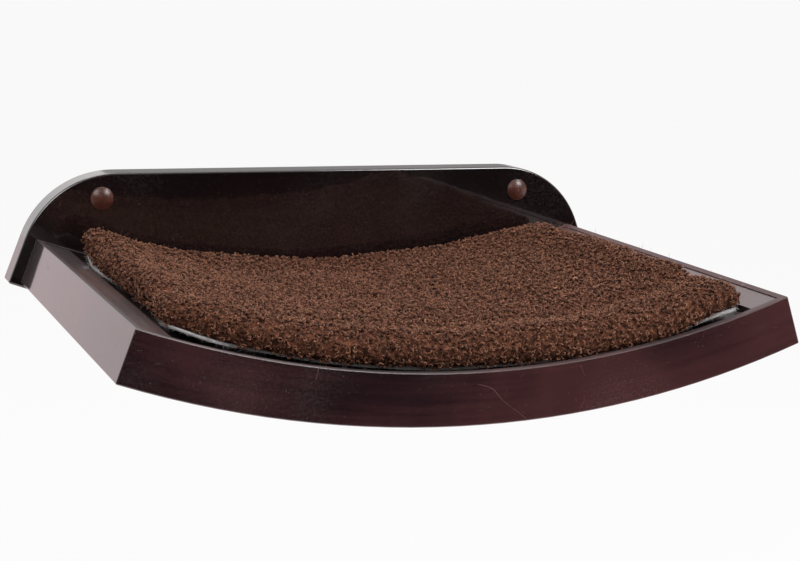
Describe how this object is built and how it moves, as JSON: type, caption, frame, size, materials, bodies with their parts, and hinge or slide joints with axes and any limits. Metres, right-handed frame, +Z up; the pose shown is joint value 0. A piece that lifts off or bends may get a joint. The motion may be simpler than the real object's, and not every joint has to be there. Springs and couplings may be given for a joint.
{
  "type": "wall-mounted cat hammock",
  "caption": "Wall-mounted cat hammock: a curved, board-edged tray carried on a round-shouldered backboard with capped wall screws, and a lift-out fleece pad.",
  "frame": {"origin": "on the wall: the centre between the wall screws, on the backboard's back face", "axes": "+X along the wall, +Y into the wall, so the tray reaches out along -Y, +Z up"},
  "size_m": [0.5704, 0.4535, 0.148],
  "materials": {
    "board_lacquer": "dark espresso lacquer, glossy",
    "bed_lacquer": "dark espresso lacquer, satin gloss",
    "panel_lacquer": "dark espresso lacquer, satin",
    "bare_plywood": "unfinished plywood",
    "beech": "bare beech dowel",
    "zinc_plate": "bright zinc plate",
    "cap_lacquer": "reddish brown, glossy",
    "hook_tape": "black touch tape",
    "felt": "pale felt",
    "foam": "upholstery foam",
    "fleece": "curly chocolate fleece"
  },
  "bodies": {
    "tray": {"backboard": "board_lacquer", "front_board": "board_lacquer", "left_end_board": "board_lacquer", "right_end_board": "board_lacquer", "rear_board": "board_lacquer", "left_end_rail": "board_lacquer", "right_end_rail": "board_lacquer", "bed_panel": "bed_lacquer", "bottom_panel": "panel_lacquer", "left_rib": "bare_plywood", "centre_rib": "bare_plywood", "right_rib": "bare_plywood", "tray_dowels": "beech", "tray_screws": "zinc_plate", "bottom_screws": "zinc_plate", "left_wall_screw": "zinc_plate", "right_wall_screw": "zinc_plate", "left_wall_washer": "zinc_plate", "right_wall_washer": "zinc_plate", "hook_patches": "hook_tape"},
    "pad": {"pad_cover": "fleece", "pad_core": "foam", "pad_base": "felt", "loop_patches": "hook_tape"},
    "left_cap": {"left_screw_cap": "cap_lacquer"},
    "right_cap": {"right_screw_cap": "cap_lacquer"}
  },
  "joints": [
    {"name": "pad_lift", "type": "slide", "parent": "tray", "child": "pad", "axis": [0, 0, 1], "range_m": [0, 0.12]},
    {"name": "left_cap_pull", "type": "slide", "parent": "tray", "child": "left_cap", "axis": [0, -1, 0], "range_m": [0, 0.03]},
    {"name": "right_cap_pull", "type": "slide", "parent": "tray", "child": "right_cap", "axis": [0, -1, 0], "range_m": [0, 0.03]}
  ]
}
